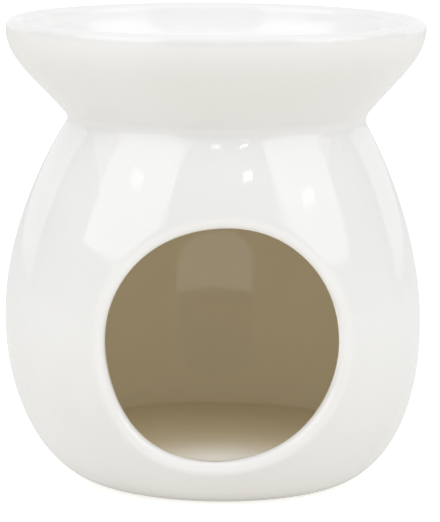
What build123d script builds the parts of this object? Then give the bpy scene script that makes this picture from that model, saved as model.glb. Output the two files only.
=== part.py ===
from build123d import *
import math
import os

# White glazed ceramic oil burner: a pot-bellied tealight chamber with a round front window,
# and a flared oil bowl that is luted onto its neck with slip.
# Millimetres and degrees. Origin at the centre of the base, +Z up, the window faces -Y.

# Chamber body
foot_diameter = 51.0        # outer edge of the ring that stands on the table
foot_width = 4.5            # flat width of that ring
foot_recess = 4.5           # depth of the hollow inside the ring
recess_draft = 35.0         # slope of the recess wall from vertical
heel_rise = 13.0            # angle at which the heel leaves the table
belly_diameter = 85.2       # widest girth
belly_height = 33.0         # height of the widest girth
neck_diameter = 59.6        # outside of the trimmed top edge
neck_height = 74.0          # height of the trimmed top edge
shoulder_lean = 31.0        # lean of the shoulder from vertical where it meets the neck
body_wall = 4.0             # wall left by the slip
body_floor = 4.5            # floor above the foot recess

# Fullness of the body's curve, as shares of the stretch between foot, belly and neck
heel_fullness = 0.58
low_belly_fullness = 0.52
high_belly_fullness = 0.39
shoulder_fullness = 0.29
floor_spread = 0.38         # reach of the flat floor from above the foot's edge towards the belly's inside

# Tealight window
window_diameter = 45.8
window_height = 34.0        # height of its centre
outer_lip_radius = 1.8      # rounding of the cut edge outside
inner_lip_bevel = 0.7       # bevel of the cut edge inside

# Oil bowl
rim_inset = 0.1             # how far the rim stands inside the belly's girth, which it lines up with
bowl_height = 19.9          # from the bowl's seat to the top of the rim
bowl_flare = 53.0           # slope of the bowl's wall from horizontal where it leaves the neck
bowl_wall = 4.0
bowl_floor = 4.0
bowl_sag = 2.5              # how far the bowl's round bottom dips into the neck
rim_thickness = 3.4         # the rim is a full round of this thickness

# Fullness of the bowl's curves, as shares of its height
flare_fullness = 0.46
rim_fullness = 0.33
dish_fullness = 0.42

# Luted joint
slip_film = 0.4             # slip between the neck's top edge and the bowl's seat
seam_reach = 1.0            # how far the outer fillet of slip runs up and down from the crease
bead_reach = 1.3            # how far the inner fillet of slip runs into the chamber
slip_fill = 0.78            # how full the fillets are, from 0 for a straight bevel to 1 for a bare corner

# Sizes that follow
foot_radius = foot_diameter / 2
belly_radius = belly_diameter / 2
neck_radius = neck_diameter / 2
window_radius = window_diameter / 2
belly_inner_radius = belly_radius - body_wall
floor_height = foot_recess + body_floor
floor_radius = foot_radius + floor_spread * (belly_inner_radius - foot_radius)
neck_inner_radius = neck_radius - body_wall / math.cos(math.radians(shoulder_lean))
seat_height = neck_height + slip_film
rim_outer_radius = belly_radius - rim_inset
rim_inner_radius = rim_outer_radius - rim_thickness
rim_centre_height = seat_height + bowl_height - rim_thickness / 2
sag_radius = neck_inner_radius - bead_reach

# Length of the handles that make a Bezier curve follow a quarter circle of radius 1
circle_handle = (math.sqrt(2) - 1) * 4 / 3


def along(angle, length):
    """Step of a length at an angle above horizontal, in the plane of the section."""
    return Vector(math.cos(math.radians(angle)), math.sin(math.radians(angle))) * length


def turn(outline):
    """Solid of revolution of a closed outline, drawn as radius and height, with its seam at the back."""
    return revolve(Plane.YZ * make_face(outline), Axis.Z)


def quarter_round(side, crest, corner_radius):
    """Quarter circle from a point on a level side of the rim up to its crest."""
    corner = Vector(corner_radius, crest.Y)
    rising = side + (corner - side) * circle_handle
    closing = crest + (corner - crest) * circle_handle
    return Bezier(side, rising, closing, crest)


def flank(low_radius, low_height, rise, wide_radius, top_radius):
    """Curve of a body wall from the foot over the belly to the neck, as two tangent Bezier curves."""
    low = Vector(low_radius, low_height)
    wide = Vector(wide_radius, belly_height)
    top = Vector(top_radius, neck_height)
    upper_stretch = neck_height - belly_height
    lower = Bezier(
        low,
        low + along(rise, heel_fullness * (wide_radius - low_radius)),
        wide - Vector(0, low_belly_fullness * (belly_height - low_height)),
        wide,
    )
    upper = Bezier(
        wide,
        wide + Vector(0, high_belly_fullness * upper_stretch),
        top - along(90 + shoulder_lean, shoulder_fullness * upper_stretch),
        top,
    )
    return lower, upper


def outer_flank():
    """Outside of the chamber wall."""
    return flank(foot_radius, 0, heel_rise, belly_radius, neck_radius)


def inner_flank():
    """Inside of the chamber wall, which runs level into the floor."""
    return flank(floor_radius, floor_height, 0, belly_inner_radius, neck_inner_radius)


def bowl_flank():
    """Outside of the bowl's wall from its seat to the rim."""
    seat = Vector(neck_radius, seat_height)
    rim = Vector(rim_outer_radius, rim_centre_height)
    return Bezier(
        seat,
        seat + along(bowl_flare, flare_fullness * bowl_height),
        rim - Vector(0, rim_fullness * bowl_height),
        rim,
    )


def uncut_body():
    """Chamber body with its hollow and foot ring, before the window is cut."""
    lower, upper = outer_flank()
    outline = Polyline((neck_radius, neck_height), (0, neck_height), (0, 0), (foot_radius, 0))
    form = turn([lower, upper, outline])

    inner_lower, inner_upper = inner_flank()
    closing = Polyline(
        (neck_inner_radius, neck_height),
        (0, neck_height),
        (0, floor_height),
        (floor_radius, floor_height),
    )
    hollow = turn([inner_lower, inner_upper, closing])

    recess_radius = foot_radius - foot_width
    recess_top_radius = recess_radius - foot_recess * math.tan(math.radians(recess_draft))
    recess = turn(
        Polyline(
            (0, 0),
            (recess_radius, 0),
            (recess_top_radius, foot_recess),
            (0, foot_recess),
            close=True,
        )
    )
    return form - hollow - recess, hollow


def lip_edges(body, hollow, inside):
    """Edges round the window's cut wall, on the chamber's side or on the outside."""
    cut_wall = body.faces().filter_by(GeomType.CYLINDER)
    round_edges = [edge for edge in cut_wall.edges() if edge.geom_type != GeomType.LINE]
    depth = [hollow.distance_to(edge @ 0.5) for edge in round_edges]
    limit = max(depth) - body_wall / 8
    if inside:
        return [edge for edge, far in zip(round_edges, depth) if far < body_wall / 8]
    return [edge for edge, far in zip(round_edges, depth) if far > limit]


def make_chamber_body():
    """Pot-bellied chamber with its round window, cut from the front and sponged round at the lip."""
    body, hollow = uncut_body()
    window = Plane.XZ * Pos(0, window_height) * Circle(window_radius)
    body -= extrude(window, amount=belly_radius + body_wall)

    body = chamfer(lip_edges(body, hollow, True), min(inner_lip_bevel, body_wall / 3))
    return fillet(lip_edges(body, hollow, False), min(outer_lip_radius, body_wall / 2))


def make_oil_bowl():
    """Flared dish with a full-round rim, whose bottom dips into the neck."""
    bottom_height = seat_height - bowl_sag
    dish_height = bottom_height + bowl_floor
    slope = math.radians(bowl_flare)
    knee_radius = neck_radius + (dish_height - seat_height) / math.tan(slope) - bowl_wall / math.sin(slope)

    bottom = Bezier((0, bottom_height), (sag_radius / 2, bottom_height), (sag_radius, seat_height))
    seat = Line((sag_radius, seat_height), (neck_radius, seat_height))
    crest = Vector(rim_outer_radius - rim_thickness / 2, rim_centre_height + rim_thickness / 2)
    outer_rim = quarter_round(Vector(rim_outer_radius, rim_centre_height), crest, rim_outer_radius)
    inner_rim = quarter_round(Vector(rim_inner_radius, rim_centre_height), crest, rim_inner_radius)
    dish = Bezier(
        (rim_inner_radius, rim_centre_height),
        (rim_inner_radius, rim_centre_height - dish_fullness * bowl_height),
        (knee_radius, dish_height),
        (0, dish_height),
    )
    axis = Line((0, dish_height), (0, bottom_height))
    return turn([bottom, seat, bowl_flank(), outer_rim, inner_rim, dish, axis])


def slip_fillet(start, end, corner):
    """Hollow curve of slip, from one face to the other, round their common corner."""
    middle = (start + end) / 2
    return Bezier(start, middle + (corner - middle) * slip_fill, end)


def make_luting_seam(bowl):
    """Ring of joining slip: a film on the neck's top edge with a fillet outside and one inside."""
    shoulder = outer_flank()[1]
    chamber = inner_flank()[1]
    flare = bowl_flank()
    on_shoulder = shoulder @ (1 - seam_reach / shoulder.length)
    on_bowl = flare @ (seam_reach / flare.length)
    in_chamber = chamber @ (1 - bead_reach / chamber.length)
    under_bowl = Vector(neck_inner_radius - bead_reach, seat_height)
    crease = Vector(neck_radius, neck_height + slip_film / 2)
    inner_crease = Vector(neck_inner_radius, neck_height + slip_film / 2)

    ring = turn(
        [
            slip_fillet(on_shoulder, on_bowl, crease),
            Line(on_bowl, under_bowl),
            slip_fillet(under_bowl, in_chamber, inner_crease),
            Line(in_chamber, on_shoulder),
        ]
    )
    return ring - uncut_body()[0] - bowl


def main():
    os.makedirs("parts", exist_ok=True)
    bowl = make_oil_bowl()
    export_step(make_chamber_body(), "parts/chamber_body.step")
    export_step(bowl, "parts/oil_bowl.step")
    export_step(make_luting_seam(bowl), "parts/luting_seam.step")


main()
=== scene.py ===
import math

import bmesh
import bpy
import numpy as np
from mathutils import Euler, Matrix, Vector

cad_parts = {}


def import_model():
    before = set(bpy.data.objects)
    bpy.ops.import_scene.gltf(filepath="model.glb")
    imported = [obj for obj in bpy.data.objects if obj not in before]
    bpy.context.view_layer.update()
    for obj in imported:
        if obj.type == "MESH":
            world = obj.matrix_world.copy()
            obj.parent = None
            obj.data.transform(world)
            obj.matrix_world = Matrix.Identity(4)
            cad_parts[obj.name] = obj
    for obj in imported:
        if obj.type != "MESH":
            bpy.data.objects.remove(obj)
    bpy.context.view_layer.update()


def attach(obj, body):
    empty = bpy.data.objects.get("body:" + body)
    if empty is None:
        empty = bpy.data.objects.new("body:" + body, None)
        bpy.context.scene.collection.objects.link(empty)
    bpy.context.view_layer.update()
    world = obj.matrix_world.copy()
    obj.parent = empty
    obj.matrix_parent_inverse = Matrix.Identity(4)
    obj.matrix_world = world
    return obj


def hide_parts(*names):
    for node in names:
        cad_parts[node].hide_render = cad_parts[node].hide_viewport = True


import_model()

# White glazed oil burner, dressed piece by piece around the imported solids.
# Shapes are worked out in millimetres and degrees in the frame's axes and written to Blender in metres.
MM = 0.001

# Chamber body
FOOT_RADIUS = 25.5
FOOT_WIDTH = 4.5
FOOT_RECESS = 4.5
FOOT_SOFTNESS = 0.3                    # rounding of the foot ring's edges
RECESS_DRAFT = 35.0                    # slope of the recess wall from vertical
HEEL_RISE = 13.0                       # angle at which the heel leaves the table
BELLY_RADIUS = 42.6
BELLY_HEIGHT = 33.0
NECK_RADIUS = 29.95
NECK_HEIGHT = 74.0
SHOULDER_LEAN = 32.0                   # lean of the shoulder from vertical at the neck
BODY_WALL = 4.0
FLOOR_HEIGHT = 9.0
FLOOR_RADIUS = 30.5
HOLLOW_HEIGHT = 40.5                   # where the hollow is widest

# Fullness of the body's curve, as shares of the stretch between foot, belly and neck
HEEL_FULLNESS = 0.60
LOW_BELLY_FULLNESS = 0.52
HIGH_BELLY_FULLNESS = 0.39
SHOULDER_FULLNESS = 0.25

# Window, cut by hand: a circle with a flat at the top and a sag at the bottom and the lower left
WINDOW_RADIUS = 22.9
WINDOW_HEIGHT = 33.85
WINDOW_SHIFT = 1.3                     # its middle, to the right of the leaning belly's
WINDOW_UNEVEN = (                      # how far out, at which angle, how wide in degrees
    (-0.35, 98.0, 24.0),
    (2.1, 234.0, 30.0),
    (0.35, 278.0, 34.0),
)
OUTER_LIP = 3.0                        # how far the rounded edge reaches over the outer wall
INNER_LIP = 0.7                        # and over the inner one
CUT_LEFT = 0.2                         # flat of the cut that is left between the two
LIP_HIGHLIGHT = 0.7                         # share of whiter colour on the round of the lip, a painted highlight
LIP_WEAR = 0.3                         # share of thin, creamy glaze on the cut's inner edge
SLOPE_STEP = 0.05                      # reach over which a wall's slope is measured

# Oil bowl
RIM_RADIUS = 42.5
RIM_THICKNESS = 3.4
BOWL_HEIGHT = 19.9
BOWL_FLARE = 52.2                      # slope of the wall from horizontal where it leaves the neck
BOWL_WALL = 4.0
BOWL_FLOOR = 4.0
BOWL_SAG = 2.5                         # how far the bottom dips into the neck
BOWL_SHADE = 0.12                       # share of darker, creamier colour on the bowl's outside, a painted shade
BOWL_SHADE_FADE = 0.25                       # share of its wall over which that ends below the rim

# Fullness of the bowl's curves, as shares of its height
FLARE_FULLNESS = 0.46
RIM_FULLNESS = 0.33
DISH_FULLNESS = 0.42

# Luted joint
SLIP_FILM = 0.4
SEAM_REACH = 1.4                       # mean reach of the outer fillet of slip
SEAM_UNEVEN = 0.25                     # how much more it reaches on the right, and less on the left
SEAM_RIPPLE = 0.06                     # height of the ripples of its edge
SEAM_RIPPLES = 5                       # ripples once round
SEAM_PHASE = 0.4                       # place of the first, in radians
BEAD_REACH = 1.3                       # reach of the inner fillet
SLIP_FILL = 0.8                        # its fullness, from 0 for a straight bevel to 1 for a bare corner

# Sizes that follow
NECK_INNER_RADIUS = NECK_RADIUS - BODY_WALL / math.cos(math.radians(SHOULDER_LEAN))
SEAT_HEIGHT = NECK_HEIGHT + SLIP_FILM
BOTTOM_HEIGHT = SEAT_HEIGHT - BOWL_SAG
DISH_HEIGHT = BOTTOM_HEIGHT + BOWL_FLOOR
RIM_INNER_RADIUS = RIM_RADIUS - RIM_THICKNESS
RIM_CENTRE_HEIGHT = SEAT_HEIGHT + BOWL_HEIGHT - RIM_THICKNESS / 2
RIM_HEIGHT = RIM_CENTRE_HEIGHT + RIM_THICKNESS / 2
SAG_RADIUS = NECK_INNER_RADIUS - BEAD_REACH
CREASE_RADIUS = NECK_RADIUS - SLIP_FILM / 2 * math.tan(math.radians(SHOULDER_LEAN))
QUARTER = (math.sqrt(2) - 1) * 4 / 3   # Bezier handle of a quarter circle of radius 1

# Painted light on the chamber's floor, inside the window
LIGHT_POOL_MIDDLE = (0.0, -26.0, FLOOR_HEIGHT)
LIGHT_POOL_REACH = 15.0
LIGHT_POOL_SHARE = 0.8

# Thick glaze in the bowl, made whiter as painted light on its dish
POOL_DEPTH = 2.0                       # below the rim's crest, where it is at its thickest
CREST_POOL = 0.2                       # share of it on the crest

# Hand-made unevenness
AXIS_LEAN = 0.63                       # degrees by which the pot's axis leans to the left
BELLY_LEAN = 0.87                      # the belly swells this much further to the left
BOW_SKEW = 1.1                         # moves the widest swell up from the middle of the body's height
BOWL_LEAN = 0.3                        # and the bowl's wall swells to the left by this much
CUT_SHIFT = 0.25                       # the window's inner edge stands this far right of the outer one
HOLLOW_SHIFT = 0.95                    # and the hollow's back wall this much further right
RIM_TILT = 0.2                         # degrees by which the rim rises to the right
WOBBLE = 0.10                          # height of the largest wave in the walls

# Share of that height, waves once round, phase in radians, height over which the wave twists by a radian
WAVES = (
    (1.0, 2, 0.7, 21.0),
    (0.7, 3, -1.1, -15.0),
    (0.4, 5, 0.0, 9.0),
)

# Mesh density
CURVE_SAMPLES = 1500                   # steps along each curve of a wall's profile
COLUMNS = 144
PATCH_HALF = 18                        # columns on either side of the window's middle
PATCH_ROWS = 36
PATCH_RINGS = 10
PATCH_EASE = 1.4                       # crowds the rings of the window's patch towards the window
PATCH_LOW = 5.0                        # height of the patch's lower edge outside
INNER_PATCH_LOW = 9.4                  # and inside
PATCH_HIGH = 63.5                      # height of its upper edge
ROWS_BELOW = 9                         # rows of the wall under the patch
ROWS_ABOVE = 8
OUTER_LIP_STEPS = 10
INNER_LIP_STEPS = 5
FLOOR_RINGS = (0.8, 0.6, 0.4, 0.2)     # shares of the floor's radius
RECESS_RINGS = (0.75, 0.5, 0.25)       # shares of the recess's radius
FOOT_STEPS = 4
BOTTOM_STEPS = 10
SEAT_STEPS = 4
BOWL_STEPS = 24
RIM_STEPS = 8
DISH_STEPS = 36
FILLET_STEPS = 10
BEAD_STEPS = 6
FILM_STEPS = 4
SEAM_POINTS = 4                        # along each wall that the slip lies on
SHARP_ANGLE = 40.0                     # edges that turn by more than this are shaded sharp


def bezier(points, count):
    """Points along a Bezier curve, as rows of an array."""
    share = np.linspace(0, 1, count + 1)[:, None]
    rows = [np.repeat(np.array([p], float), count + 1, axis=0) for p in points]
    while len(rows) > 1:
        rows = [a + (b - a) * share for a, b in zip(rows, rows[1:])]
    return rows[0]


def along(angle, length):
    """Step of a length at an angle above horizontal, in the plane of the section."""
    return np.array([math.cos(math.radians(angle)), math.sin(math.radians(angle))]) * length


def join(*curves):
    """One curve from several that meet end to end."""
    return np.vstack([curves[0]] + [curve[1:] for curve in curves[1:]])


class Profile:
    """Curve of a wall in the section plane, as radius and height, addressed by its share of length."""

    def __init__(self, curve):
        steps = np.linalg.norm(np.diff(curve, axis=0), axis=1)
        self.radius = curve[:, 0]
        self.height = curve[:, 1]
        self.length = steps.sum()
        self.share = np.concatenate([[0], np.cumsum(steps)]) / self.length

    def at(self, share):
        return np.interp(share, self.share, self.radius), np.interp(share, self.share, self.height)

    def share_at(self, height):
        return np.interp(height, self.height, self.share)

    def radius_at(self, height):
        return np.interp(height, self.height, self.radius)


def flank(low_radius, low_height, rise, wide_radius, wide_height, top_radius):
    """Body wall from the foot over the belly to the neck."""
    low = np.array([low_radius, low_height])
    wide = np.array([wide_radius, wide_height])
    top = np.array([top_radius, NECK_HEIGHT])
    upper_stretch = NECK_HEIGHT - wide_height
    lower = [
        low,
        low + along(rise, HEEL_FULLNESS * (wide_radius - low_radius)),
        wide - (0, LOW_BELLY_FULLNESS * (wide_height - low_height)),
        wide,
    ]
    upper = [
        wide,
        wide + (0, HIGH_BELLY_FULLNESS * upper_stretch),
        top - along(90 + SHOULDER_LEAN, SHOULDER_FULLNESS * upper_stretch),
        top,
    ]
    return Profile(join(bezier(lower, CURVE_SAMPLES), bezier(upper, CURVE_SAMPLES)))


def bowl_flank():
    """Outside of the bowl from its seat to the rim."""
    seat = np.array([NECK_RADIUS, SEAT_HEIGHT])
    rim = np.array([RIM_RADIUS, RIM_CENTRE_HEIGHT])
    points = [
        seat,
        seat + along(BOWL_FLARE, FLARE_FULLNESS * BOWL_HEIGHT),
        rim - (0, RIM_FULLNESS * BOWL_HEIGHT),
        rim,
    ]
    return Profile(bezier(points, CURVE_SAMPLES))


OUTER = flank(FOOT_RADIUS, 0, HEEL_RISE, BELLY_RADIUS, BELLY_HEIGHT, NECK_RADIUS)
INNER = flank(FLOOR_RADIUS, FLOOR_HEIGHT, 0, BELLY_RADIUS - BODY_WALL, HOLLOW_HEIGHT, NECK_INNER_RADIUS)
BOWL = bowl_flank()


def settle(points, inside):
    """Unevenness of a hand-finished pot: leaning axis, bowed belly, tilted rim and waves in the walls."""
    x, y, z = points.T
    turn = np.arctan2(x, -y)
    waves = sum(share * np.sin(count * turn + phase + z / twist) for share, count, phase, twist in WAVES)
    radius = np.maximum(np.hypot(x, y), NECK_INNER_RADIUS)
    grow = 1 + WOBBLE * waves * np.clip(z / BELLY_HEIGHT, 0, 1) / radius
    bow = np.sin(np.pi * np.clip(z / NECK_HEIGHT, 0, 1) ** BOW_SKEW)
    depth = np.clip(0.5 + y / (2 * BELLY_RADIUS), 0, 1)
    past_neck = np.clip((z - NECK_HEIGHT) / (RIM_HEIGHT - NECK_HEIGHT), 0, 1)
    lean = bow * (inside * (CUT_SHIFT + HOLLOW_SHIFT * depth) - BELLY_LEAN)
    lean -= BOWL_LEAN * np.sin(np.pi * past_neck) + z * math.tan(math.radians(AXIS_LEAN))
    lift = x * past_neck * math.tan(math.radians(RIM_TILT))
    return np.stack([x * grow + lean, y * grow, z + lift], axis=1)


class Skin:
    """Vertices, faces and finish marks of one piece.

    inside marks the darker, browner colour within the chamber, edge the creamy glaze on the window's cut and
    a painted shade on the bowl's outside, bare the unglazed clay and the last the whiter colour: thick glaze
    in the bowl with painted light on it, a painted highlight on the window's lip and painted light on the
    chamber's floor.
    """

    MARKS = ("inside", "edge", "bare", "pool")

    def __init__(self):
        self.points = []
        self.marks = []
        self.faces = []

    def add(self, x, y, z, inside=0.0, edge=0.0, bare=0.0, pool=0.0):
        self.points.append((x, y, z))
        self.marks.append((inside, edge, bare, pool))
        return len(self.points) - 1

    def on_turn(self, turn, radius, height, **marks):
        """Vertex at an angle from the front, counted towards +X."""
        return self.add(radius * math.sin(turn), -radius * math.cos(turn), height, **marks)

    def ring(self, radius, height, **marks):
        return [self.on_turn(column_turn(j), radius, height, **marks) for j in range(COLUMNS)]

    def bridge(self, first, second):
        """Quads between two closed loops of as many vertices."""
        count = len(first)
        for j in range(count):
            k = (j + 1) % count
            self.faces.append((first[j], first[k], second[k], second[j]))

    def chain(self, loops):
        for first, second in zip(loops, loops[1:]):
            self.bridge(first, second)

    def cap(self, loop, height, **marks):
        """Fan from a loop to its centre."""
        middle = self.add(0, 0, height, **marks)
        for j in range(len(loop)):
            self.faces.append((loop[j], loop[(j + 1) % len(loop)], middle))

    def build(self, name):
        """Blender object of the piece, settled by hand and shaded smooth."""
        mesh = bpy.data.meshes.new(name)
        marks = np.array(self.marks, float)
        places = settle(np.array(self.points, float), marks[:, 0]) * MM
        mesh.from_pydata(places.tolist(), [], self.faces)
        for index, mark in enumerate(self.MARKS):
            layer = mesh.attributes.new(mark, "FLOAT", "POINT")
            layer.data.foreach_set("value", marks[:, index].tolist())
        mesh.polygons.foreach_set("use_smooth", [True] * len(mesh.polygons))
        piece = bpy.data.objects.new(name, mesh)
        bpy.context.scene.collection.objects.link(piece)
        face_outward(mesh)
        mesh.set_sharp_from_angle(angle=math.radians(SHARP_ANGLE))
        return piece


def face_outward(mesh):
    """Turns every face of a closed mesh to the outside."""
    work = bmesh.new()
    work.from_mesh(mesh)
    bmesh.ops.recalc_face_normals(work, faces=work.faces)
    work.to_mesh(mesh)
    work.free()


def column_turn(j):
    return 2 * math.pi * j / COLUMNS


def window_radius(angle):
    """Radius of the hand-cut window at an angle counted from +X towards +Z."""
    radius = WINDOW_RADIUS
    for depth, centre, width in WINDOW_UNEVEN:
        away = (math.degrees(angle) - centre + 180) % 360 - 180
        radius += depth * math.exp(-((away / width) ** 2))
    return radius


def wall_depth(profile, angle, reach):
    """Y of a wall's front at a reach from the window's axis."""
    x = WINDOW_SHIFT + reach * math.cos(angle)
    radius = profile.radius_at(WINDOW_HEIGHT + reach * math.sin(angle))
    return -math.sqrt(radius * radius - x * x)


def wall_skin(skin, profile, stations, low, high, lip, angles, **marks):
    """Wall of revolution with a hole for the window. Returns its end rings and the loop round the window."""
    inner_columns = {j % COLUMNS for j in range(-PATCH_HALF + 1, PATCH_HALF)}
    grid = {}
    for i, share in enumerate(stations):
        radius, height = profile.at(share)
        for j in range(COLUMNS):
            if not (low < i < high and j in inner_columns):
                grid[i, j] = skin.on_turn(column_turn(j), radius, height, **marks)
    patch_cells = {j % COLUMNS for j in range(-PATCH_HALF, PATCH_HALF)}
    for i in range(len(stations) - 1):
        for j in range(COLUMNS):
            if low <= i < high and j in patch_cells:
                continue
            k = (j + 1) % COLUMNS
            skin.faces.append((grid[i, j], grid[i, k], grid[i + 1, k], grid[i + 1, j]))

    border = patch_border(low, high)
    loops = [[grid[i, j % COLUMNS] for i, j in border]]
    for ring in range(1, PATCH_RINGS + 1):
        blend = 1 - (1 - ring / PATCH_RINGS) ** PATCH_EASE
        loop = []
        for (i, j), angle in zip(border, angles):
            reach = window_radius(angle) + lip
            height = WINDOW_HEIGHT + reach * math.sin(angle)
            near_turn = math.asin((WINDOW_SHIFT + reach * math.cos(angle)) / profile.radius_at(height))
            near_share = profile.share_at(height)
            turn = column_turn(j) + (near_turn - column_turn(j)) * blend
            share = stations[i] + (near_share - stations[i]) * blend
            radius, height = profile.at(share)
            loop.append(skin.on_turn(turn, radius, height, **marks))
        loops.append(loop)
    skin.chain(loops)
    rows = [[grid[i, j] for j in range(COLUMNS)] for i in (0, len(stations) - 1)]
    return rows[0], rows[1], loops[-1]


def patch_border(low, high):
    """Grid places round the window's patch, once round."""
    half = PATCH_HALF
    border = [(low, j) for j in range(-half, half)]
    border += [(i, half) for i in range(low, high)]
    border += [(high, j) for j in range(half, -half, -1)]
    border += [(i, -half) for i in range(high, low, -1)]
    return border


def patch_stations(profile, low_height):
    """Shares of length of a wall's rows, and the first and last row of the window's patch."""
    low = profile.share_at(low_height)
    high = profile.share_at(PATCH_HIGH)
    under = np.linspace(0, low, ROWS_BELOW + 1)
    patch = np.linspace(low, high, PATCH_ROWS + 1)
    over = np.linspace(high, 1, ROWS_ABOVE + 1)
    return np.concatenate([under, patch[1:], over[1:]]), ROWS_BELOW, ROWS_BELOW + PATCH_ROWS


def border_angles(profile, stations, border):
    """Angle about the window's axis of each place on the patch's border."""
    angles = []
    for i, j in border:
        radius, height = profile.at(stations[i])
        across = radius * math.sin(column_turn(j)) - WINDOW_SHIFT
        angles.append(math.atan2(height - WINDOW_HEIGHT, across))
    return angles


def conic(start, corner, end, weight, count):
    """Points from start to end round a corner, on a circle if both legs are as long and the weight fits."""
    share = np.linspace(0, 1, count + 1)[:, None]
    first = (1 - share) ** 2
    middle = 2 * weight * share * (1 - share)
    last = share ** 2
    path = first * np.array(start) + middle * np.array(corner) + last * np.array(end)
    return path / (first + middle + last)


def lip_curve(profile, angle, over, towards, limit, count):
    """Section of a rounded lip, from the wall's face round into the cut: reaches and depths."""
    edge = window_radius(angle)
    start = wall_depth(profile, angle, edge + over)
    slope = (wall_depth(profile, angle, edge + over + SLOPE_STEP) - start) / SLOPE_STEP
    corner = start - over * slope
    leg = math.hypot(over, over * slope)
    end = min(corner + towards * leg, limit)
    weight = math.sin(math.acos(towards * over * slope / leg) / 2)
    return conic((edge + over, start), (edge, corner), (edge, end), weight, count)


def cut_point(skin, angle, reach, depth, **marks):
    """Vertex at a reach from the window's axis and a depth along it."""
    x = WINDOW_SHIFT + reach * math.cos(angle)
    z = WINDOW_HEIGHT + reach * math.sin(angle)
    return skin.add(x, depth, z, **marks)


def window_lips(skin, angles, outer_loop, inner_loop):
    """Thickness of the wall round the window: a round lip outside, a flat and a small lip inside."""
    inner_lips = [lip_curve(INNER, a, INNER_LIP, -1, math.inf, INNER_LIP_STEPS) for a in angles]
    outer_lips = []
    for a, back in zip(angles, inner_lips):
        limit = back[-1][1] - CUT_LEFT
        outer_lips.append(lip_curve(OUTER, a, OUTER_LIP, 1, limit, OUTER_LIP_STEPS))
    loops = [outer_loop]
    for step in range(1, OUTER_LIP_STEPS + 1):
        # Painted highlight: the round of the lip turns whiter towards the cut.
        highlight_share = LIP_HIGHLIGHT * min(1.0, 2 * step / OUTER_LIP_STEPS)
        loops.append([cut_point(skin, a, *lip[step], pool=highlight_share) for a, lip in zip(angles, outer_lips)])
    for step in range(INNER_LIP_STEPS, 0, -1):
        deep = 1 - step / INNER_LIP_STEPS
        loop = []
        for a, back in zip(angles, inner_lips):
            loop.append(cut_point(skin, a, *back[step], inside=deep, edge=LIP_WEAR))
        loops.append(loop)
    skin.chain(loops + [inner_loop])


def chamber_body():
    """Pot-bellied chamber with its window, rounded lip, foot ring and hollow."""
    skin = Skin()
    outer_rows, low, high = patch_stations(OUTER, PATCH_LOW)
    inner_rows = patch_stations(INNER, INNER_PATCH_LOW)[0]
    angles = border_angles(OUTER, outer_rows, patch_border(low, high))
    foot, neck, outer_loop = wall_skin(skin, OUTER, outer_rows, low, high, OUTER_LIP, angles)
    heel, inner_neck, inner_loop = wall_skin(
        skin, INNER, inner_rows, low, high, INNER_LIP, angles, inside=1.0
    )
    window_lips(skin, angles, outer_loop, inner_loop)
    skin.bridge(neck, inner_neck)
    close_floor(skin, heel)
    close_foot(skin, foot)
    paint_light_under_window(skin)
    return skin.build("chamber_body_glazed")


def close_floor(skin, edge):
    """Flat floor of the chamber inside the heel."""
    loops = [edge]
    for share in FLOOR_RINGS:
        loops.append(skin.ring(FLOOR_RADIUS * share, FLOOR_HEIGHT, inside=1.0))
    skin.chain(loops)
    skin.cap(loops[-1], FLOOR_HEIGHT, inside=1.0)


def paint_light_under_window(skin):
    """Marks painted light on the chamber's floor, whitest just inside the window."""
    for index, point in enumerate(skin.points):
        inside, edge, bare, pool = skin.marks[index]
        if inside > 0:
            away = math.dist(point, LIGHT_POOL_MIDDLE) / LIGHT_POOL_REACH
            skin.marks[index] = (inside, edge, bare, LIGHT_POOL_SHARE * math.exp(-away * away))


def close_foot(skin, edge):
    """Foot ring with softened edges and the shallow hollow inside it."""
    inner = FOOT_RADIUS - FOOT_WIDTH
    slant = math.tan(math.radians(RECESS_DRAFT))
    soft = FOOT_SOFTNESS
    top = inner - FOOT_RECESS * slant
    corner = bezier([(inner + soft, 0), (inner, 0), (inner - soft * slant, soft)], FOOT_STEPS)
    ceiling = bezier(
        [(top + soft * slant, FOOT_RECESS - soft), (top, FOOT_RECESS), (top - soft, FOOT_RECESS)],
        FOOT_STEPS,
    )
    section = [(FOOT_RADIUS - soft, 0)] + list(corner) + list(ceiling)
    loops = [edge]
    for radius, height in section:
        loops.append(skin.ring(radius, height, bare=1.0 if height < FOOT_RECESS / 2 else 0.0))
    for share in RECESS_RINGS:
        loops.append(skin.ring(top * share, FOOT_RECESS))
    skin.chain(loops)
    skin.cap(loops[-1], FOOT_RECESS)


def bowl_underside():
    """Bottom and seat of the bowl, from beside its middle to beside the foot of its outer wall."""
    dip = [(0, BOTTOM_HEIGHT), (SAG_RADIUS / 2, BOTTOM_HEIGHT), (SAG_RADIUS, SEAT_HEIGHT)]
    seat = [(SAG_RADIUS, SEAT_HEIGHT), (NECK_RADIUS, SEAT_HEIGHT)]
    return join(bezier(dip, BOTTOM_STEPS)[1:], bezier(seat, SEAT_STEPS))[:-1]


def bowl_inside(crest):
    """Inside of the bowl, from below the rim's crest to beside the middle of the dish."""
    slope = math.radians(BOWL_FLARE)
    knee = NECK_RADIUS + (DISH_HEIGHT - SEAT_HEIGHT) / math.tan(slope) - BOWL_WALL / math.sin(slope)
    inner_rim = quarter_round((RIM_INNER_RADIUS, RIM_CENTRE_HEIGHT), crest, RIM_INNER_RADIUS)[::-1]
    dish = [
        (RIM_INNER_RADIUS, RIM_CENTRE_HEIGHT),
        (RIM_INNER_RADIUS, RIM_CENTRE_HEIGHT - DISH_FULLNESS * BOWL_HEIGHT),
        (knee, DISH_HEIGHT),
        (0, DISH_HEIGHT),
    ]
    return join(inner_rim, bezier(dish, DISH_STEPS))[1:-1]


def quarter_round(side, crest, corner_radius):
    """Quarter circle from a level side of the rim up to its crest."""
    side = np.array(side, float)
    corner = np.array([corner_radius, crest[1]])
    rising = side + (corner - side) * QUARTER
    closing = crest + (corner - crest) * QUARTER
    return bezier([side, rising, closing, crest], RIM_STEPS)


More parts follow.
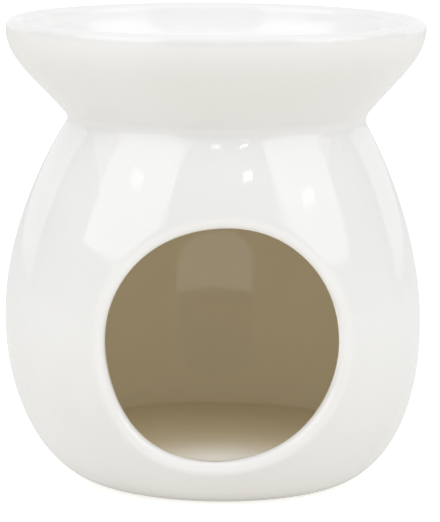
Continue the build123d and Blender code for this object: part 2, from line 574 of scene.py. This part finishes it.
def oil_bowl():
    """Flared dish with its round rim and the bottom that closes the chamber."""
    crest = np.array([RIM_RADIUS - RIM_THICKNESS / 2, RIM_HEIGHT])
    outer_rim = quarter_round((RIM_RADIUS, RIM_CENTRE_HEIGHT), crest, RIM_RADIUS)
    skin = Skin()
    loops = [skin.ring(r, z, inside=1.0) for r, z in bowl_underside()]
    for share in np.linspace(0, 1, BOWL_STEPS + 1):
        # Painted shade: the bowl's outside is darker and creamier, fading out below the rim.
        thin_and_shaded = BOWL_SHADE * min(1.0, (1 - share) / BOWL_SHADE_FADE)
        loops.append(skin.ring(*BOWL.at(share), edge=thin_and_shaded))
    for r, z in outer_rim[1:]:
        rise = (z - RIM_CENTRE_HEIGHT) / (RIM_HEIGHT - RIM_CENTRE_HEIGHT)
        loops.append(skin.ring(r, z, pool=CREST_POOL * rise))
    for r, z in bowl_inside(crest):
        # Thick glaze in the dish, whitened further as painted light.
        sunk = min(1.0, (RIM_HEIGHT - z) / POOL_DEPTH)
        loops.append(skin.ring(r, z, pool=CREST_POOL + (1 - CREST_POOL) * sunk))
    skin.chain(loops)
    skin.cap(loops[0], BOTTOM_HEIGHT, inside=1.0)
    skin.cap(loops[-1], DISH_HEIGHT, pool=1.0)
    return skin.build("oil_bowl_glazed")


def luting_seam():
    """Ring of slip in the joint, fuller on the right than on the left."""
    skin = Skin()
    columns = []
    for j in range(COLUMNS):
        turn = column_turn(j)
        ripple = SEAM_RIPPLE * math.sin(SEAM_RIPPLES * turn + SEAM_PHASE)
        reach = SEAM_REACH + SEAM_UNEVEN * math.sin(turn) + ripple
        columns.append([skin.on_turn(turn, r, z, inside=m) for r, z, m in seam_section(reach)])
    loops = [list(loop) for loop in zip(*columns)]
    skin.chain(loops + [loops[0]])
    return skin.build("luting_seam_glazed")


def stretch(profile, start, end):
    """Points on a wall between two shares of its length."""
    return np.array([profile.at(share) for share in np.linspace(start, end, SEAM_POINTS)])


def seam_section(reach):
    """Closed section of the slip for a reach of its outer fillet: radius, height and inside mark."""
    shoulder = stretch(OUTER, 1 - reach / OUTER.length, 1)
    wall = stretch(BOWL, reach / BOWL.length, 0)
    chamber = stretch(INNER, 1 - BEAD_REACH / INNER.length, 1)
    crease = np.array([CREASE_RADIUS, NECK_HEIGHT + SLIP_FILM / 2])
    inner_crease = np.array([NECK_INNER_RADIUS, NECK_HEIGHT + SLIP_FILM / 2])
    under_bowl = np.array([SAG_RADIUS, SEAT_HEIGHT])
    outside = bezier([shoulder[0], crease, wall[0]], FILLET_STEPS)
    under = bezier([wall[-1], under_bowl], FILM_STEPS)
    inside = bead(under_bowl, chamber[0], inner_crease)
    over = bezier([chamber[-1], shoulder[-1]], FILM_STEPS)
    outer_part = [(r, z, 0.0) for r, z in join(outside, wall, under)]
    inner_part = [(r, z, 1.0) for r, z in join(inside, chamber)[1:]]
    back = [(r, z, 0.0) for r, z in join(over, shoulder[::-1])[1:-1]]
    return outer_part + inner_part + back


def bead(start, end, corner):
    """Hollow curve of the inner fillet of slip, from one face to the other."""
    middle = (start + end) / 2
    return bezier([start, middle + (corner - middle) * SLIP_FILL, end], BEAD_STEPS)


# Materials

WHITE_GLAZE = (0.86, 0.858, 0.853)
CLOUD_GLAZE = (0.835, 0.831, 0.822)    # clouds in the white
POOLED_GLAZE_AND_PAINTED_LIGHT = (0.955, 0.95, 0.94)     # where it settled thick, whitened further as painted light in the bowl, on the window's lip and on the chamber's floor
THIN_GLAZE_AND_SHADE = (0.84, 0.80, 0.70)        # where the clay shines through at the window's cut, and painted shade on the bowl's outside
CHAMBER_GLAZE = (0.68, 0.60, 0.43)     # darker and browner inside the chamber
BARE_CLAY = (0.74, 0.68, 0.57)

# Noise: scale per metre and detail
CLOUD_NOISE = (38.0, 3.0)
GLOSS_NOISE = (120.0, 4.0)
SWELL_NOISE = (90.0, 1.0)
PEEL_NOISE = (900.0, 2.0)

CLOUD_RANGE = (0.35, 0.65)             # noise values between clear and clouded
GLOSS_RANGE = (0.3, 0.7)               # noise values between the two roughnesses
GLAZE_ROUGHNESS = (0.02, 0.06)
BARE_ROUGHNESS = 0.85
GLAZE_IOR = 1.52
SWELL_BUMP = (0.07, 0.001)             # strength and height in metres of slow waves in the glaze
PEEL_BUMP = (0.012, 0.0003)            # and of its fine ripple


def node(tree, kind, **inputs):
    """New node with values on its inputs, whose names are written with underscores."""
    made = tree.nodes.new(kind)
    for name, value in inputs.items():
        made.inputs[name.replace("_", " ")].default_value = value
    return made


def attribute(tree, name):
    made = tree.nodes.new("ShaderNodeAttribute")
    made.attribute_name = name
    return made.outputs["Fac"]


def blend_colour(tree, factor, first, second):
    """Mix of two colours, each a socket or a plain colour."""
    made = tree.nodes.new("ShaderNodeMix")
    made.data_type = "RGBA"
    tree.links.new(factor, made.inputs["Factor"])
    for socket, value in ((made.inputs[6], first), (made.inputs[7], second)):
        if isinstance(value, bpy.types.NodeSocket):
            tree.links.new(value, socket)
        else:
            socket.default_value = (*value, 1.0)
    return made.outputs[2]


def remap(tree, value, low, high, to_low, to_high):
    made = node(tree, "ShaderNodeMapRange", From_Min=low, From_Max=high, To_Min=to_low, To_Max=to_high)
    tree.links.new(value, made.inputs["Value"])
    return made.outputs["Result"]


def noise(tree, place, scale, detail):
    made = node(tree, "ShaderNodeTexNoise", Scale=scale, Detail=detail)
    tree.links.new(place, made.inputs["Vector"])
    return made.outputs["Fac"]


def bump(tree, height, strength, distance):
    made = node(tree, "ShaderNodeBump", Strength=strength, Distance=distance)
    tree.links.new(height, made.inputs["Height"])
    return made


def glaze_colour(tree, place):
    """White with clouds, overlaid by the glaze or clay that the marks ask for, and by painted shade and
    painted light.
    """
    clouds = remap(tree, noise(tree, place, *CLOUD_NOISE), *CLOUD_RANGE, 0.0, 1.0)
    white = blend_colour(tree, clouds, WHITE_GLAZE, CLOUD_GLAZE)
    thin_and_shaded = blend_colour(tree, attribute(tree, "edge"), white, THIN_GLAZE_AND_SHADE)
    chamber = blend_colour(tree, attribute(tree, "inside"), thin_and_shaded, CHAMBER_GLAZE)
    pooled_and_lit = blend_colour(tree, attribute(tree, "pool"), chamber, POOLED_GLAZE_AND_PAINTED_LIGHT)
    return blend_colour(tree, attribute(tree, "bare"), pooled_and_lit, BARE_CLAY)


def glaze_roughness(tree, place):
    """Uneven gloss of the glaze, and dull bare clay."""
    gloss = remap(tree, noise(tree, place, *GLOSS_NOISE), *GLOSS_RANGE, *GLAZE_ROUGHNESS)
    rough = tree.nodes.new("ShaderNodeMix")
    rough.data_type = "FLOAT"
    tree.links.new(attribute(tree, "bare"), rough.inputs["Factor"])
    tree.links.new(gloss, rough.inputs[2])
    rough.inputs[3].default_value = BARE_ROUGHNESS
    return rough.outputs[0]


def glaze():
    """Glossy glaze: creamy where it thins, painted shade on the bowl's outside, whiter where it settled
    thick and as painted light, and darker and browner inside the chamber.
    """
    material = bpy.data.materials.new("white_glaze")
    material.use_nodes = True
    tree = material.node_tree
    shader = tree.nodes["Principled BSDF"]
    place = tree.nodes.new("ShaderNodeTexCoord").outputs["Object"]
    tree.links.new(glaze_colour(tree, place), shader.inputs["Base Color"])
    tree.links.new(glaze_roughness(tree, place), shader.inputs["Roughness"])
    shader.inputs["IOR"].default_value = GLAZE_IOR

    swell = bump(tree, noise(tree, place, *SWELL_NOISE), *SWELL_BUMP)
    peel = bump(tree, noise(tree, place, *PEEL_NOISE), *PEEL_BUMP)
    tree.links.new(swell.outputs["Normal"], peel.inputs["Normal"])
    tree.links.new(peel.outputs["Normal"], shader.inputs["Normal"])
    return material


# Stage, lights and camera, in metres

TABLE = (0.655, 0.635, 0.585)          # colour of the table to the light
TABLE_SEEN = (0.75, 0.75, 0.75)        # and where it is seen or mirrored
TABLE_TINT = (1.0, 0.985, 0.955)       # colour of the light that comes up through it
TABLE_GLOW = 0.27                      # strength of that light on the pot
TABLE_MIRRORED = 0.22                  # in the glaze, where it lifts the table to white
TABLE_LIFT = 0.62                      # and before the camera, where it does the same
TABLE_SIZE = 12.0
TABLE_DROP = 0.0001                    # between the table and the foot ring
TENT_LEVEL = 0.75                      # strength of the tent's light on the pot
TENT_SEEN = 1.0                        # and where it is seen or mirrored
LIGHT_TINT = (0.982, 0.990, 1.0)       # cool daylight of tent and lamps
PLAIN_WHITE = (1.0, 1.0, 1.0)


def seen_rays(tree):
    """Two sockets: 1 for rays that show the surroundings, seen or mirrored, and 1 for the camera's own."""
    path = tree.nodes.new("ShaderNodeLightPath")
    camera_ray = path.outputs["Is Camera Ray"]
    seen = camera_ray
    for kind in ("Is Glossy Ray", "Is Transmission Ray"):
        either = tree.nodes.new("ShaderNodeMath")
        either.operation = "MAXIMUM"
        tree.links.new(seen, either.inputs[0])
        tree.links.new(path.outputs[kind], either.inputs[1])
        seen = either.outputs[0]
    return seen, camera_ray


def floor_top(tree):
    """Shader of the table's upper side: dull, and with light that comes up through it."""
    seen, camera_ray = seen_rays(tree)
    diffuse = tree.nodes.new("ShaderNodeBsdfDiffuse")
    tree.links.new(blend_colour(tree, seen, TABLE, TABLE_SEEN), diffuse.inputs["Color"])
    glow = tree.nodes.new("ShaderNodeEmission")
    glow.inputs["Color"].default_value = (*TABLE_TINT, 1.0)
    strength = tree.nodes.new("ShaderNodeMath")
    level = remap(tree, seen, 0.0, 1.0, TABLE_GLOW, TABLE_MIRRORED)
    extra = remap(tree, camera_ray, 0.0, 1.0, 0.0, TABLE_LIFT - TABLE_MIRRORED)
    tree.links.new(level, strength.inputs[0])
    tree.links.new(extra, strength.inputs[1])
    tree.links.new(strength.outputs[0], glow.inputs["Strength"])
    total = tree.nodes.new("ShaderNodeAddShader")
    tree.links.new(diffuse.outputs[0], total.inputs[0])
    tree.links.new(glow.outputs[0], total.inputs[1])
    return total.outputs[0]


def floor():
    """Pale light table: it lights the pot softly from below, looks white and is clear from underneath."""
    bpy.ops.mesh.primitive_plane_add(size=TABLE_SIZE, location=(0, 0, -TABLE_DROP))
    plane = bpy.context.object
    plane.name = "floor"
    material = bpy.data.materials.new("studio_floor")
    material.use_nodes = True
    tree = material.node_tree
    tree.nodes.clear()
    output = tree.nodes.new("ShaderNodeOutputMaterial")
    side = tree.nodes.new("ShaderNodeMixShader")
    underside = tree.nodes.new("ShaderNodeNewGeometry").outputs["Backfacing"]
    clear = tree.nodes.new("ShaderNodeBsdfTransparent")
    tree.links.new(underside, side.inputs["Fac"])
    tree.links.new(floor_top(tree), side.inputs[1])
    tree.links.new(clear.outputs[0], side.inputs[2])
    tree.links.new(side.outputs[0], output.inputs["Surface"])
    plane.data.materials.append(material)


def world():
    """Light tent, which looks white and lights the pot a little less and a little cooler."""
    made = bpy.data.worlds.new("studio")
    bpy.context.scene.world = made
    made.use_nodes = True
    tree = made.node_tree
    background = tree.nodes["Background"]
    seen = seen_rays(tree)[0]
    tree.links.new(blend_colour(tree, seen, LIGHT_TINT, PLAIN_WHITE), background.inputs["Color"])
    level = remap(tree, seen, 0.0, 1.0, TENT_LEVEL, TENT_SEEN)
    tree.links.new(level, background.inputs["Strength"])


# Open front of the tent and the gaps beside and under its softboxes, which are only mirrored in the glaze:
# name, angle from the front towards +X, distance, height of the middle, width and height, shade,
# height over which it pales towards the table
DARK_CARDS = (
    ("dark_front", 5.0, 0.65, 0.52, (1.0, 1.02), 0.05, 0.001),
    ("dark_left", -103.0, 0.88, 0.28, (0.61, 0.56), 0.46, 0.20),
    ("dark_right", 106.0, 0.88, 0.28, (0.56, 0.56), 0.46, 0.20),
    ("dark_left_low", -80.0, 0.88, 0.16, (0.65, 0.32), 0.46, 0.20),
    ("dark_right_low", 80.0, 0.88, 0.13, (0.65, 0.26), 0.46, 0.20),
)
CARD_PALE = 0.9                        # shade of a card's lower edge
CARD_ROUGHNESS = 1.0


def dark_card(name, azimuth, distance, height, size, shade, fade):
    """Upright card that faces the pot's axis and that only the glaze mirrors."""
    bpy.ops.mesh.primitive_plane_add(size=1.0)
    card = bpy.context.object
    card.name = name
    turn = math.radians(azimuth)
    card.location = (distance * math.sin(turn), -distance * math.cos(turn), height)
    card.rotation_euler = (math.radians(90), 0, turn)
    card.scale = (*size, 1.0)
    card.visible_camera = False
    card.visible_diffuse = False
    card.visible_transmission = False
    card.visible_shadow = False
    card.data.materials.append(card_material(name, shade, fade / size[1]))


def card_material(name, shade, fade):
    """Dull grey that pales over a share of the card's height above its lower edge."""
    material = bpy.data.materials.new(name)
    material.use_nodes = True
    tree = material.node_tree
    shader = tree.nodes["Principled BSDF"]
    place = tree.nodes.new("ShaderNodeSeparateXYZ")
    tree.links.new(tree.nodes.new("ShaderNodeTexCoord").outputs["Generated"], place.inputs["Vector"])
    rise = remap(tree, place.outputs["Y"], 0.0, fade, 0.0, 1.0)
    tree.links.new(blend_colour(tree, rise, (CARD_PALE,) * 3, (shade,) * 3), shader.inputs["Base Color"])
    shader.inputs["Roughness"].default_value = CARD_ROUGHNESS
    return material


# Softboxes with bright cores, low fills at the sides, a high key, three bulbs and a fill in the window:
# name, angle from the front towards +X, elevation, distance, width and height, radiance,
# whether it lights the pot, whether the glaze mirrors it, shape
LAMPS = (
    ("left_softbox", -61.0, 37.3, 0.70, (0.545, 0.46), 0.95, True, True, "RECTANGLE"),
    ("right_softbox", 67.6, 34.0, 0.70, (0.44, 0.53), 0.9, True, True, "RECTANGLE"),
    ("left_core", -61.0, 38.6, 0.68, (0.10, 0.045), 1.5, True, True, "RECTANGLE"),
    ("right_core", 66.0, 30.5, 0.68, (0.10, 0.045), 1.5, True, True, "RECTANGLE"),
    ("left_fill", -95.0, 6.0, 0.70, (0.50, 0.35), 0.45, True, False, "RECTANGLE"),
    ("right_fill", 95.0, 6.0, 0.70, (0.50, 0.35), 0.35, True, False, "RECTANGLE"),
    ("key", 8.0, 44.0, 0.90, (0.40, 0.30), 2.5, True, False, "RECTANGLE"),
    ("bulb_left", -1.6, 53.7, 0.80, (0.08, 0.018), 4.0, False, True, "RECTANGLE"),
    ("bulb_right", 24.6, 52.4, 0.80, (0.065, 0.006), 12.0, False, True, "RECTANGLE"),
    ("bulb_low", 24.0, 43.2, 0.80, (0.075, 0.036), 4.0, False, True, "RECTANGLE"),
    ("window_fill", 0.0, 0.0, 0.033, (0.042, 0.042), 1.03, True, False, "DISK"),
)


def lamp(name, azimuth, elevation, distance, size, radiance, lights, mirrored, shape):
    """Area lamp that faces the pot's axis at the height of the window."""
    light = bpy.data.lights.new(name, "AREA")
    light.shape = shape
    light.size, light.size_y = size
    light.energy = radiance * math.pi * size[0] * size[1]
    light.color = LIGHT_TINT
    holder = bpy.data.objects.new(name, light)
    bpy.context.scene.collection.objects.link(holder)
    turn = math.radians(azimuth)
    lift = math.radians(elevation)
    target = Vector((0, 0, WINDOW_HEIGHT * MM))
    away = Vector((math.sin(turn) * math.cos(lift), -math.cos(turn) * math.cos(lift), math.sin(lift)))
    holder.location = target + away * distance
    holder.rotation_euler = (-away).to_track_quat("-Z", "Y").to_euler()
    holder.visible_camera = False
    holder.visible_diffuse = lights
    holder.visible_glossy = mirrored


CAMERA_DISTANCE = 0.700
CAMERA_HEIGHT = 0.1512
CAMERA_PITCH = 8.66                    # degrees by which it looks down
CAMERA_TURN = 1.45                     # the camera stands this far round to the left of the window
CAMERA_ROLL = 0.65                     # degrees by which the camera is tipped to the left
IMAGE_SIZE = (440, 522)
FOCAL_PIXELS = 3460.0
AXIS_PIXEL = 219.2                     # column of the image that the camera's axis passes through
SENSOR = 36.0                          # millimetres, along the image's longer side
CLIP_START = 0.01


def camera():
    """Camera at the photograph's viewing angle."""
    lens = bpy.data.cameras.new("camera")
    lens.sensor_width = SENSOR
    lens.lens = FOCAL_PIXELS / max(IMAGE_SIZE) * SENSOR
    lens.shift_x = (IMAGE_SIZE[0] / 2 - AXIS_PIXEL) / max(IMAGE_SIZE)
    lens.clip_start = CLIP_START
    holder = bpy.data.objects.new("camera", lens)
    bpy.context.scene.collection.objects.link(holder)
    turn = math.radians(CAMERA_TURN)
    side = -CAMERA_DISTANCE * math.sin(turn)
    front = -CAMERA_DISTANCE * math.cos(turn)
    holder.location = (side, front, CAMERA_HEIGHT)
    aim = Euler((math.radians(90 - CAMERA_PITCH), 0, -turn)).to_matrix()
    roll = Matrix.Rotation(math.radians(CAMERA_ROLL), 3, "Z")
    holder.rotation_euler = (aim @ roll).to_euler()
    bpy.context.scene.camera = holder


def main():
    white_glaze = glaze()
    made = (
        (chamber_body(), "chamber_body", "body_glaze"),
        (oil_bowl(), "oil_bowl", "bowl_glaze"),
        (luting_seam(), "luting_seam", "seam_glaze"),
    )
    for piece, replaced, slot in made:
        piece.data.materials.append(white_glaze)
        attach(piece, "root")
        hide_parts(replaced)

    floor()
    world()
    for card in DARK_CARDS:
        dark_card(*card)
    for row in LAMPS:
        lamp(*row)
    camera()
    bpy.context.scene.view_settings.view_transform = "Standard"


main()
